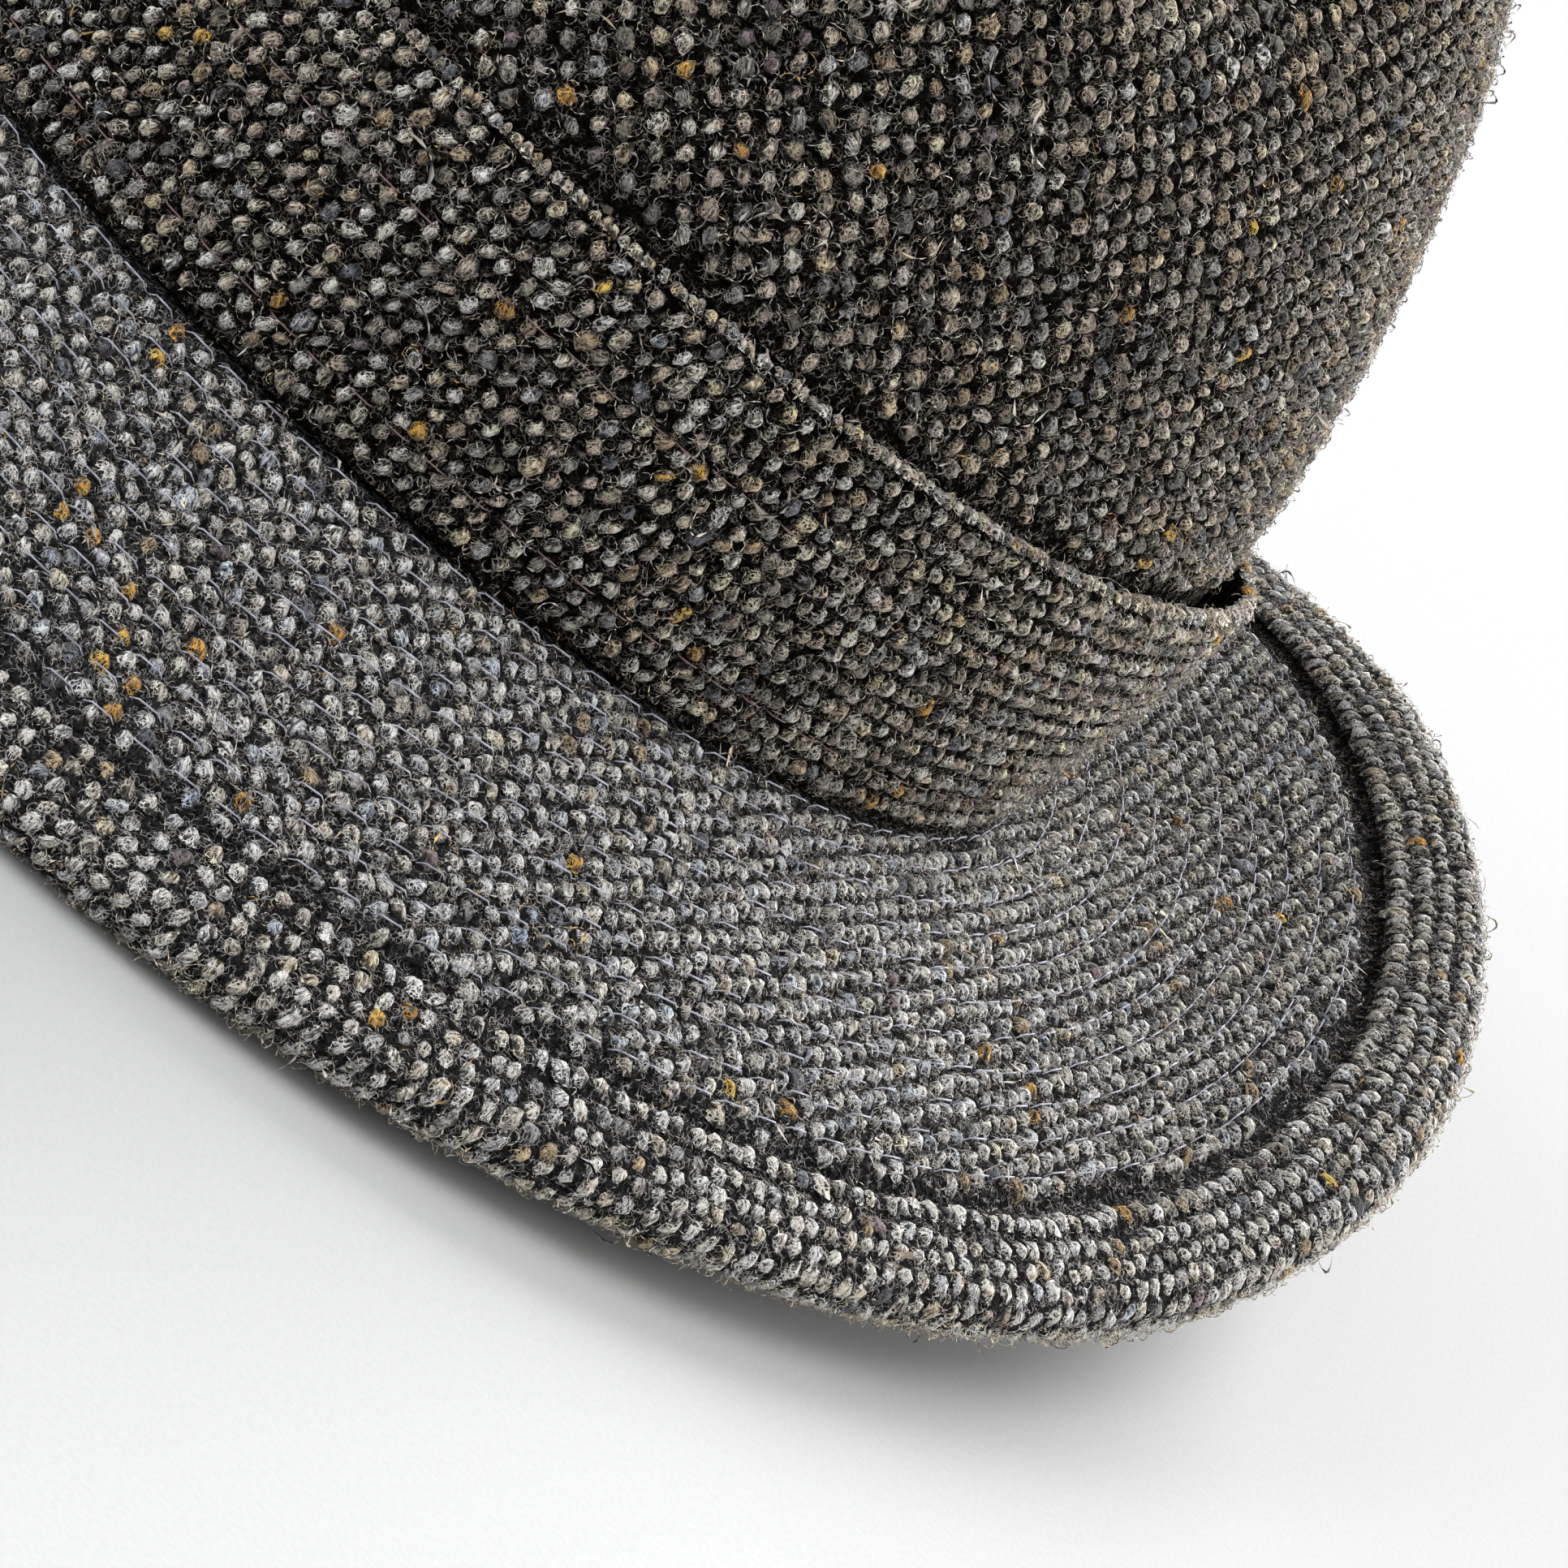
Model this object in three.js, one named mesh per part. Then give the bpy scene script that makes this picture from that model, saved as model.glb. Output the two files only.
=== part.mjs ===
// A sewn tweed fedora: crown, band, brim and the binding round the brim's edge.
// Millimetres and degrees. In the hat's own frame +Z runs up through the crown, -Y is the front
// and +X is the wearer's left. The hat is then tipped back as it rests on a table, with the
// snapped-down front edge and the back of the brim on z = 0.

import * as THREE from 'three';

// Head oval, measured on the outside of the crown at its foot.
const HALF_LENGTH = 100.6;
const HALF_WIDTH = 85.3;

// Walls and the small clearance that neighbouring pieces keep.
const CROWN_WALL = 2.5;
const BAND_WALL = 1.5;
const BRIM_WALL = 3;
const BINDING_WALL = 1.2;
const CLEARANCE = 0.3;

// Brim: distances run over its top face, outward from the foot of the band.
const BRIM_REACH = 57;
const BINDING_WIDTH = 12;
const BRIM_HOLE = -4;
const BRIM_BEND_END = 4;

// Band.
const BAND_HEIGHT = 33.5;
const BAND_POCKET = { angle: 93, spread: 15, gap: 3.2 };

// Rest: how far the hat tips back, and how deep its lowest cloth is pressed flat.
const REST_TILT = 7.41;
const REST_PRESS = 0.6;
const REST_SHIFT = -3.2; // brings the middle of the hat's box over the origin

// Mesh density.
const TURN_STEPS = 72;
const PROFILE_STEPS = 18;

// Slope of the brim below level, at its root and at its edge, by angle from the front.
const BRIM_SLOPES = [
  { angle: 0, root: 38, edge: 30 },
  { angle: 30, root: 24, edge: 31 },
  { angle: 60, root: 13, edge: 13 },
  { angle: 90, root: -13, edge: -16 },
  { angle: 120, root: -26, edge: -27 },
  { angle: 150, root: -14, edge: -15 },
  { angle: 180, root: -10, edge: -11 },
];

// Crown profile from the foot to the top, before its folds. Reach 1 is the head oval.
const CROWN_PROFILE = [
  { height: 0, reach: 1 },
  { height: 20, reach: 1.015 },
  { height: 40, reach: 0.995 },
  { height: 60, reach: 0.94 },
  { height: 76, reach: 0.872 },
  { height: 90, reach: 0.8 },
  { height: 102, reach: 0.705 },
  { height: 110, reach: 0.56 },
  { height: 113, reach: 0.36 },
  { height: 114, reach: 0.17 },
  { height: 114, reach: 0 },
];

// Folds pressed into the crown: centre, how far each spreads, and the move at its centre.
// The crispness is how suddenly each fold ends.
const FOLD_CRISPNESS = 1.4;
const CROWN_FOLDS = [
  { name: 'back slope', at: [0, 90, 114], spread: [110, 70, 60], move: [0, 0, -10] },
  { name: 'centre dent', at: [0, 12, 114], spread: [25, 56, 90], move: [0, 0, -30] },
  { name: 'dent nose', at: [0, -46, 112], spread: [13, 30, 60], move: [0, 0, -13] },
  { name: 'left pinch', at: [39, -61, 103], spread: [27, 27, 20], move: [-13, 7, -4] },
  { name: 'right pinch', at: [-39, -61, 103], spread: [27, 27, 20], move: [13, 7, -4] },
];

const CROWN_FINISH = { color: 0x67625c, roughness: 0.95, metalness: 0 };
const BRIM_FINISH = { color: 0x77777c, roughness: 0.95, metalness: 0 };
const BINDING_FINISH = { color: 0x6f6c68, roughness: 0.95, metalness: 0 };

const radians = THREE.MathUtils.degToRad;

// Smooth value of a table's column, with level ends, for rows in rising order of their key.
function tableValue(rows, key, column, at) {
  const last = rows.length - 1;
  let index = 0;
  while (index < last - 1 && at > rows[index + 1][key]) {
    index += 1;
  }
  const slopeAt = (i) => {
    if (i === 0 || i === last) {
      return 0;
    }
    return (rows[i + 1][column] - rows[i - 1][column]) / (rows[i + 1][key] - rows[i - 1][key]);
  };
  const span = rows[index + 1][key] - rows[index][key];
  const t = (at - rows[index][key]) / span;
  const fromStart = (1 + 2 * t) * (1 - t) ** 2 * rows[index][column];
  const fromEnd = t * t * (3 - 2 * t) * rows[index + 1][column];
  const turnStart = t * (1 - t) ** 2 * span * slopeAt(index);
  const turnEnd = t * t * (t - 1) * span * slopeAt(index + 1);
  return fromStart + fromEnd + turnStart + turnEnd;
}

function angleFromFront(turn) {
  const degrees = THREE.MathUtils.radToDeg(turn) % 360;
  return degrees > 180 ? 360 - degrees : degrees;
}

// Point on the head oval moved outward by an offset, at a turn from the front toward +X.
function ovalPoint(turn, offset, height) {
  const normal = new THREE.Vector2(Math.sin(turn) / HALF_WIDTH, -Math.cos(turn) / HALF_LENGTH);
  normal.normalize();
  const x = HALF_WIDTH * Math.sin(turn) + offset * normal.x;
  const y = -HALF_LENGTH * Math.cos(turn) + offset * normal.y;
  return new THREE.Vector3(x, y, height);
}

// Slope of the brim's top face, which bends from level into its root slope under the band.
function brimSlope(turn, along) {
  const angle = angleFromFront(turn);
  const root = tableValue(BRIM_SLOPES, 'angle', 'root', angle);
  const edge = tableValue(BRIM_SLOPES, 'angle', 'edge', angle);
  const bend = THREE.MathUtils.smoothstep(along, BRIM_HOLE, BRIM_BEND_END);
  const share = Math.max(0, along) / BRIM_REACH;
  return radians(bend * THREE.MathUtils.lerp(root, edge, share));
}

// Point of the brim at a distance along its top face and a rise square to that face.
function brimPoint(turn, along, rise) {
  const steps = 24;
  const step = (along - BRIM_HOLE) / steps;
  let out = -CROWN_WALL;
  let height = 0;
  for (let i = 0; i < steps; i += 1) {
    const slope = brimSlope(turn, BRIM_HOLE + (i + 0.5) * step);
    out += step * Math.cos(slope);
    height -= step * Math.sin(slope);
  }
  const slope = brimSlope(turn, along);
  return ovalPoint(turn, out + rise * Math.sin(slope), height + rise * Math.cos(slope));
}

// Tips a point of the hat back onto the table.
const tip = new THREE.Matrix4().makeRotationX(radians(-REST_TILT));

function restHeight() {
  let lowest = 0;
  for (let i = 0; i < TURN_STEPS; i += 1) {
    const turn = (i / TURN_STEPS) * 2 * Math.PI;
    const edge = brimPoint(turn, BRIM_REACH - BINDING_WALL, underside(BRIM_REACH));
    lowest = Math.min(lowest, edge.applyMatrix4(tip).z);
  }
  return -lowest - REST_PRESS;
}

// Rise of the lowest face at a distance along the brim: the binding's, or the brim's own.
function underside(along) {
  const bound = along > BRIM_REACH - BINDING_WIDTH - CLEARANCE;
  return bound ? -BRIM_WALL - CLEARANCE - BINDING_WALL : -BRIM_WALL;
}

const REST_HEIGHT = restHeight();

function atRest(point) {
  point.applyMatrix4(tip);
  point.y += REST_SHIFT;
  point.z += REST_HEIGHT;
  return point;
}

// How far the table lifts the cloth at a place on the brim.
function restLift(turn, along) {
  return Math.max(0, -atRest(brimPoint(turn, along, underside(along))).z);
}

function restingBrimPoint(turn, along, rise) {
  const point = atRest(brimPoint(turn, along, rise));
  point.z += restLift(turn, along);
  return point;
}

// A point at the foot of the crown or band, a clearance above the brim.
function footPoint(turn, offset) {
  const along = offset + CROWN_WALL + BRIM_HOLE;
  const onBrim = brimPoint(turn, along, 0);
  const point = atRest(ovalPoint(turn, offset, onBrim.z + CLEARANCE));
  point.z += restLift(turn, along);
  return point;
}

// Rows of points that go round the hat, joined to the next row by triangles. Every diagonal
// runs the same way over the cloth, so that facing walls of two pieces stay parallel.
function ringSurface(rows, isClosed) {
  const positions = [];
  const indices = [];
  rows.forEach(({ pointAt }) => {
    for (let i = 0; i < TURN_STEPS; i += 1) {
      positions.push(...pointAt((i / TURN_STEPS) * 2 * Math.PI).toArray());
    }
  });
  const bands = isClosed ? rows.length : rows.length - 1;
  for (let row = 0; row < bands; row += 1) {
    const nextRow = (row + 1) % rows.length;
    const isOutward = rows[nextRow].order > rows[row].order;
    for (let i = 0; i < TURN_STEPS; i += 1) {
      const next = (i + 1) % TURN_STEPS;
      const corner = row * TURN_STEPS + i;
      const right = row * TURN_STEPS + next;
      const up = nextRow * TURN_STEPS + i;
      const across = nextRow * TURN_STEPS + next;
      if (isOutward) {
        indices.push(corner, right, across, corner, across, up);
      } else {
        indices.push(corner, right, up, right, across, up);
      }
    }
  }
  return { positions, indices };
}

function finishedMesh(name, positions, indices, finish) {
  const geometry = new THREE.BufferGeometry();
  geometry.setAttribute('position', new THREE.Float32BufferAttribute(positions, 3));
  geometry.setIndex(indices);
  geometry.computeVertexNormals();
  const mesh = new THREE.Mesh(geometry, new THREE.MeshStandardMaterial(finish));
  mesh.name = name;
  return mesh;
}

function brimRow(along, rise) {
  return { order: along, pointAt: (turn) => restingBrimPoint(turn, along, rise) };
}

// Brim: a sheet with an open head hole, from its hole to just inside the binding's fold.
function makeBrim() {
  const stations = [BRIM_HOLE, -1, 2, 6, 14, 24, 35, BRIM_REACH - BINDING_WIDTH];
  stations.push(BRIM_REACH - BINDING_WALL - CLEARANCE);
  const top = stations.map((along) => brimRow(along, 0));
  const under = stations.map((along) => brimRow(along, -BRIM_WALL));
  const { positions, indices } = ringSurface([...under, ...top.reverse()], true);
  return finishedMesh('brim', positions, indices, BRIM_FINISH);
}

// Binding: a strip folded round the brim's edge, open toward the crown.
function makeBinding() {
  const start = BRIM_REACH - BINDING_WIDTH;
  const fold = BRIM_REACH - BINDING_WALL;
  const topIn = CLEARANCE;
  const topOut = CLEARANCE + BINDING_WALL;
  const underIn = -BRIM_WALL - CLEARANCE;
  const underOut = underIn - BINDING_WALL;
  const middle = -BRIM_WALL / 2;
  const places = [
    { along: start, rise: underOut },
    { along: BRIM_REACH - 2.5, rise: underOut },
    { along: BRIM_REACH - 0.6, rise: underIn + 0.2 },
    { along: BRIM_REACH, rise: middle },
    { along: BRIM_REACH - 0.6, rise: topIn - 0.2 },
    { along: BRIM_REACH - 2.5, rise: topOut },
    { along: start, rise: topOut },
    { along: start, rise: topIn },
    { along: fold, rise: topIn },
    { along: fold, rise: underIn },
    { along: start, rise: underIn },
  ];
  const rows = places.map(({ along, rise }) => brimRow(along, rise));
  const { positions, indices } = ringSurface(rows, true);
  return finishedMesh('brim_binding', positions, indices, BINDING_FINISH);
}

// Crown profile at a share of the way from the foot to the top.
function crownProfile(share) {
  const place = share * (CROWN_PROFILE.length - 1);
  const rows = CROWN_PROFILE.map((row, index) => ({ ...row, index }));
  const height = tableValue(rows, 'index', 'height', place);
  const reach = tableValue(rows, 'index', 'reach', place);
  return { height, reach };
}

// Outer face of the crown's own wall, after its folds.
function crownPoint(turn, share) {
  const { height, reach } = crownProfile(share);
  const point = ovalPoint(turn, 0, height);
  point.x *= reach;
  point.y *= reach;
  const moved = point.clone();
  CROWN_FOLDS.forEach(({ at, spread, move }) => {
    const away = point.toArray().reduce((sum, v, i) => sum + ((v - at[i]) / spread[i]) ** 2, 0);
    moved.addScaledVector(new THREE.Vector3(...move), Math.exp(-(away ** FOLD_CRISPNESS)));
  });
  return moved;
}

// Outward unit normal of the crown's outer face.
function crownNormal(turn, share) {
  const small = 1e-3;
  const low = Math.max(0, share - small);
  const high = Math.min(1 - small, share + small);
  const round = crownPoint(turn + small, share).sub(crownPoint(turn - small, share));
  const rising = crownPoint(turn, high).sub(crownPoint(turn, low));
  return round.cross(rising).normalize();
}

// Point of the crown's wall at a depth below its outer face.
function crownWallPoint(turn, share, depth) {
  if (share === 0) {
    return footPoint(turn, -depth);
  }
  const point = crownPoint(turn, share);
  point.addScaledVector(crownNormal(turn, share), -depth);
  return atRest(point);
}

// Crown: a dome of cloth, open at its foot. The two faces are joined by a rim at the foot.
function makeCrown() {
  const shares = [];
  for (let i = 0; i < PROFILE_STEPS; i += 1) {
    shares.push(i / PROFILE_STEPS);
  }
  const rowAt = (depth) => (share) => ({
    order: share,
    pointAt: (turn) => crownWallPoint(turn, share, depth),
  });
  const outer = shares.map(rowAt(0));
  const inner = shares.map(rowAt(CROWN_WALL));
  const { positions, indices } = ringSurface([...inner.reverse(), ...outer], false);
  const poleOf = (depth) => {
    const point = crownPoint(0, 1);
    point.z -= depth;
    positions.push(...atRest(point).toArray());
    return positions.length / 3 - 1;
  };
  const innerPole = poleOf(CROWN_WALL);
  const outerPole = poleOf(0);
  const lastRow = (2 * PROFILE_STEPS - 1) * TURN_STEPS;
  for (let i = 0; i < TURN_STEPS; i += 1) {
    const next = (i + 1) % TURN_STEPS;
    indices.push(innerPole, next, i);
    indices.push(outerPole, lastRow + i, lastRow + next);
  }
  return finishedMesh('crown', positions, indices, CROWN_FINISH);
}

// Height share of the crown's profile at a height above its foot.
function shareAtHeight(height) {
  let low = 0;
  let high = 1;
  for (let i = 0; i < 30; i += 1) {
    const middle = (low + high) / 2;
    if (crownProfile(middle).height < height) {
      low = middle;
    } else {
      high = middle;
    }
  }
  return low;
}

// How far the band's inner face stands off the crown: it gapes in one shallow pocket.
function bandOffset(turn, height) {
  const away = (THREE.MathUtils.radToDeg(turn) - BAND_POCKET.angle) / BAND_POCKET.spread;
  const rise = (height / BAND_HEIGHT) ** 1.5;
  return CLEARANCE + BAND_POCKET.gap * Math.exp(-away * away) * rise;
}

function bandPoint(turn, height, wall) {
  if (height === 0) {
    return footPoint(turn, CLEARANCE + wall);
  }
  const share = shareAtHeight(height);
  const point = crownPoint(turn, share);
  const out = ovalPoint(turn, 1, 0).sub(ovalPoint(turn, 0, 0));
  return atRest(point.addScaledVector(out, bandOffset(turn, height) + wall));
}

// Band: a folded strip of cloth round the foot of the crown.
function makeBand() {
  const heights = [0, 8, 17, 26, BAND_HEIGHT];
  const rowAt = (wall) => (height) => ({
    order: height,
    pointAt: (turn) => bandPoint(turn, height, wall),
  });
  const outer = heights.map(rowAt(BAND_WALL));
  const inner = heights.map(rowAt(0));
  const { positions, indices } = ringSurface([...outer, ...inner.reverse()], true);
  return finishedMesh('band', positions, indices, CROWN_FINISH);
}

const hat = new THREE.Group();
hat.add(makeCrown(), makeBand(), makeBrim(), makeBinding());

export default hat;
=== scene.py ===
"""Looks of a sewn tweed fedora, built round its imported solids.

The cloth is made in its own flat places, in millimetres, and laid on the hat's surfaces: a dark
ground sheet, a pale tuft wherever the pale yarn crosses over, dark tufts between them, rings of
stitches and loose curled fibres. In the hat's own frame +Z runs up through the crown, -Y is the
front and +X is the wearer's left, before the hat is tipped back as it rests.
"""

import math

import bpy
import numpy as np
from mathutils import Matrix, Vector


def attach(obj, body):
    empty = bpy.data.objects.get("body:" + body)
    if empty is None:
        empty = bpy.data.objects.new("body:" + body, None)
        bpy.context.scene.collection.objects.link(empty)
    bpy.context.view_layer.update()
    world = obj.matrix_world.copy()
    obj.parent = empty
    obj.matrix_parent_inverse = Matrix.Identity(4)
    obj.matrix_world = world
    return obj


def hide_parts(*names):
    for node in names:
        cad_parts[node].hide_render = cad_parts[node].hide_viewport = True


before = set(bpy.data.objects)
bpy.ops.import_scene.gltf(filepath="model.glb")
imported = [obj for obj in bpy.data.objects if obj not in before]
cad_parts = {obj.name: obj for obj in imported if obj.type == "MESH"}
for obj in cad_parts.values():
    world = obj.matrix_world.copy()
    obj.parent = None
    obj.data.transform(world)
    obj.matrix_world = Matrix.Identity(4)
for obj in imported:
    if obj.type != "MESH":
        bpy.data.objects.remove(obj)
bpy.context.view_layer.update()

# The hat's sizes, in millimetres and degrees, as in the solids.
HALF_LENGTH = 100.6
HALF_WIDTH = 85.3
CROWN_WALL = 2.5
BAND_WALL = 1.5
BRIM_WALL = 3.0
BINDING_WALL = 1.2
CLEARANCE = 0.3
BRIM_REACH = 57.0
BINDING_WIDTH = 12.0
BRIM_HOLE = -4.0
BRIM_BEND_END = 4.0
BAND_HEIGHT = 33.5
POCKET_ANGLE = 93.0
POCKET_SPREAD = 15.0
POCKET_GAP = 3.2
REST_TILT = 7.41
REST_PRESS = 0.6
REST_SHIFT = -3.2
FOLD_CRISPNESS = 1.4

# Slope of the brim below level, at its root and at its edge, by angle from the front.
BRIM_ANGLES = np.arange(0.0, 181.0, 30.0)
ROOT_SLOPES = np.array([38, 24, 13, -13, -26, -14, -10], float)
EDGE_SLOPES = np.array([30, 31, 13, -16, -27, -15, -11], float)

# Crown profile from the foot to the top: height, and share of the head oval.
CROWN_HEIGHTS = np.array([0, 20, 40, 60, 76, 90, 102, 110, 113, 114, 114], float)
CROWN_REACHES = np.array([1, 1.015, 0.995, 0.94, 0.872, 0.8, 0.705, 0.56, 0.36, 0.17, 0])

# Folds pressed into the crown: centre, spread, move at the centre.
CROWN_FOLDS = (
    ((0, 90, 114), (110, 70, 60), (0, 0, -10)),
    ((0, 12, 114), (25, 56, 90), (0, 0, -30)),
    ((0, -46, 112), (13, 30, 60), (0, 0, -13)),
    ((39, -61, 103), (27, 27, 20), (-13, 7, -4)),
    ((-39, -61, 103), (27, 27, 20), (13, 7, -4)),
)

# Cloth.
THREAD_PITCH = 1.71
PICK_PITCH = 1.88  # the same cloth is woven a little more open up the crown
DIAGONAL_PITCH = THREAD_PITCH * math.sqrt(2)
CROWN_CUT_RADIUS = 470.0  # the crown's side is cut as part of a wide ring
BRIM_CUT_SHARE = 0.68  # the brim is cut as this share of a full ring
BRIM_CUT_TWIST = math.radians(3)
SEAM_HEIGHT = 104.0  # the oval top is sewn to the side wall here
SEAM_WIDTH = 0.9
SEAM_DEPTH = 0.7
BACK_SEAM_DEPTH = 0.35
STITCH_ROWS = 11
FIRST_STITCH_ROW = 1.2
LAST_STITCH_ROW = 41.0
STITCH_WIDTH = 0.7
STITCH_DEPTH = 0.22
HEM_STITCH = 3.0  # from the binding's hem to its sunk line of stitches
HEM_STITCH_WIDTH = 0.75
HEM_STITCH_DEPTH = 0.55
HEM_TUCK = 1.25  # how far the binding's hem is turned down, over the next length
HEM_TUCK_REACH = 2.2
HEM_GROOVE = 43.8  # the brim's cloth is drawn down beside the hem
HEM_GROOVE_WIDTH = 1.4
HEM_GROOVE_DEPTH = 1.15
BAND_STITCH = 32.3  # a sunk line of stitches under the band's fold
BAND_STITCH_WIDTH = 0.6
BAND_STITCH_DEPTH = 0.35
TOP_FOLD = 0.75  # radius of the fold along the band's top edge
FOOT_GAP = 0.3  # the crown's and band's cloth starts this far above the brim
FOOT_BLEND = 8.0  # what the pressed brim lifts dies out over this height
FLOOR_GAP = 0.1
GROUND_SINK = 0.32  # the dark ground lies this far under the faces of the solids

TURNS = 2 * math.pi


# ---- shapes of the hat


def table_value(keys, values, at):
    """Smooth value of a table, with level ends, for keys in rising order."""
    slopes = np.zeros(len(keys))
    slopes[1:-1] = (values[2:] - values[:-2]) / (keys[2:] - keys[:-2])
    index = np.clip(np.searchsorted(keys, at) - 1, 0, len(keys) - 2)
    span = keys[index + 1] - keys[index]
    t = (at - keys[index]) / span
    total = (1 + 2 * t) * (1 - t) ** 2 * values[index]
    total += t * t * (3 - 2 * t) * values[index + 1]
    total += t * (1 - t) ** 2 * span * slopes[index]
    total += t * t * (t - 1) * span * slopes[index + 1]
    return total


def unit(vectors):
    return vectors / np.linalg.norm(vectors, axis=-1, keepdims=True)


def stacked(*parts):
    return np.stack(np.broadcast_arrays(*parts), -1)


def smooth_step(at, low, high):
    t = np.clip((at - low) / (high - low), 0, 1)
    return t * t * (3 - 2 * t)


def hump(at, middle, width):
    """A smooth hump of height one."""
    return np.exp(-(((at - middle) / width) ** 2))


def oval_point(turn, offset, height):
    """Point on the head oval moved outward, at a turn from the front toward +X."""
    normal_x = np.sin(turn) / HALF_WIDTH
    normal_y = -np.cos(turn) / HALF_LENGTH
    size = np.hypot(normal_x, normal_y)
    x = HALF_WIDTH * np.sin(turn) + offset * normal_x / size
    y = -HALF_LENGTH * np.cos(turn) + offset * normal_y / size
    return stacked(x, y, height)


def brim_slope(turn, along):
    angle = np.degrees(turn) % 360
    angle = np.where(angle > 180, 360 - angle, angle)
    root = table_value(BRIM_ANGLES, ROOT_SLOPES, angle)
    edge = table_value(BRIM_ANGLES, EDGE_SLOPES, angle)
    bend = smooth_step(along, BRIM_HOLE, BRIM_BEND_END)
    share = np.maximum(0, along) / BRIM_REACH
    return np.radians(bend * (root + (edge - root) * share))


def brim_point(turn, along, rise):
    steps = 24
    turn, along = np.broadcast_arrays(turn, along)
    step = (along - BRIM_HOLE) / steps
    out = np.full(along.shape, -CROWN_WALL)
    height = np.zeros(along.shape)
    for i in range(steps):
        slope = brim_slope(turn, BRIM_HOLE + (i + 0.5) * step)
        out = out + step * np.cos(slope)
        height = height - step * np.sin(slope)
    slope = brim_slope(turn, along)
    return oval_point(turn, out + rise * np.sin(slope), height + rise * np.cos(slope))


def tip(points):
    """Tips directions or points of the hat back, as it rests."""
    angle = math.radians(REST_TILT)
    y = math.cos(angle) * points[..., 1] + math.sin(angle) * points[..., 2]
    z = -math.sin(angle) * points[..., 1] + math.cos(angle) * points[..., 2]
    return np.stack([points[..., 0], y, z], -1)


def rest_height():
    turn = np.arange(72) / 72 * TURNS
    under = -BRIM_WALL - CLEARANCE - BINDING_WALL
    edge = brim_point(turn, BRIM_REACH - BINDING_WALL, under)
    return -tip(edge)[:, 2].min() - REST_PRESS


REST_HEIGHT = rest_height()


def at_rest(points, lift=0.0):
    """Points of the hat where they rest, with what lifts them there."""
    points = tip(points) + np.array([0, REST_SHIFT, REST_HEIGHT])
    points[..., 2] += lift
    return points


def lift_off_table(turn, along):
    """How far the table lifts the cloth at a place on the brim."""
    bound = along > BRIM_REACH - BINDING_WIDTH - CLEARANCE
    under = np.where(bound, -BRIM_WALL - CLEARANCE - BINDING_WALL, -BRIM_WALL)
    return np.maximum(0, -at_rest(brim_point(turn, along, under))[..., 2])


def resting_brim(turn, along, rise):
    return at_rest(brim_point(turn, along, rise), lift_off_table(turn, along))


def crown_profile(share):
    rows = np.arange(len(CROWN_HEIGHTS), dtype=float)
    place = np.clip(share, 0, 1) * rows[-1]
    return table_value(rows, CROWN_HEIGHTS, place), table_value(rows, CROWN_REACHES, place)


def crown_point(turn, share):
    """Outer face of the crown in the hat's own frame, after its folds."""
    height, reach = crown_profile(share)
    points = oval_point(turn, 0.0, height)
    points[..., 0] *= reach
    points[..., 1] *= reach
    moved = points.copy()
    for centre, spread, move in CROWN_FOLDS:
        away = (((points - centre) / np.array(spread, float)) ** 2).sum(-1)
        moved += np.exp(-(away**FOLD_CRISPNESS))[..., None] * np.array(move, float)
    return moved


def foot_lift(turn, height):
    """What the pressed brim adds to the height of the cloth that stands on it."""
    return lift_off_table(turn, 0.5) * np.clip(1 - height / FOOT_BLEND, 0, 1)


# Lengths along the crown's profile, and from its pole, by share.
SHARES = np.linspace(0, 1, 4001)
PROFILE_HEIGHTS, PROFILE_REACHES = crown_profile(SHARES)
MEAN_RADIUS = (HALF_LENGTH + HALF_WIDTH) / 2
PROFILE_STEPS = np.hypot(np.diff(PROFILE_HEIGHTS), np.diff(PROFILE_REACHES) * MEAN_RADIUS)
PROFILE_LENGTHS = np.concatenate([[0], np.cumsum(PROFILE_STEPS)])
RISING = slice(3600)  # the rows over which the height still rises
SEAM_LENGTH = float(np.interp(SEAM_HEIGHT, PROFILE_HEIGHTS[RISING], PROFILE_LENGTHS[RISING]))
CROWN_LENGTH = float(PROFILE_LENGTHS[-1])

# Lengths round the head oval, by turn.
OVAL_TURNS = np.linspace(-math.pi, math.pi, 7201)
OVAL_PLACES = oval_point(OVAL_TURNS, 0.0, 0.0)
OVAL_STEPS = np.linalg.norm(np.diff(OVAL_PLACES, axis=0), axis=-1)
OVAL_LENGTHS = np.concatenate([[0], np.cumsum(OVAL_STEPS)])
OVAL_GIRTH = float(OVAL_LENGTHS[-1])


def turn_at_length(length):
    """Turn at a length round the head oval, from the back through the front."""
    return np.interp(np.mod(length, OVAL_GIRTH), OVAL_LENGTHS, OVAL_TURNS)


def turn_from_front(length):
    return turn_at_length(length + OVAL_GIRTH / 2)


def seam_dip(length):
    return SEAM_DEPTH * hump(length, SEAM_LENGTH, SEAM_WIDTH)


def crown_at(turn, length, rise):
    """Point over the crown at a turn and a length up its profile."""
    share = np.interp(length, PROFILE_LENGTHS, SHARES)
    height = crown_profile(share)[0]
    small = 2e-3
    round_it = crown_point(turn + small, share) - crown_point(turn - small, share)
    low, high = np.maximum(share - small, 0), np.minimum(share + small, 0.999)
    upward = crown_point(turn, high) - crown_point(turn, low)
    normal = unit(np.cross(round_it, upward))
    moved = normal * (rise - seam_dip(length))[..., None]
    return at_rest(crown_point(turn, share) + moved, foot_lift(turn, height))


def crown_side_place(u, v):
    """Length round from the front, and up the wall, for a place on the flat cut side."""
    away = np.hypot(u, CROWN_CUT_RADIUS - v)
    return np.arctan2(u, CROWN_CUT_RADIUS - v) * CROWN_CUT_RADIUS, CROWN_CUT_RADIUS - away


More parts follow.
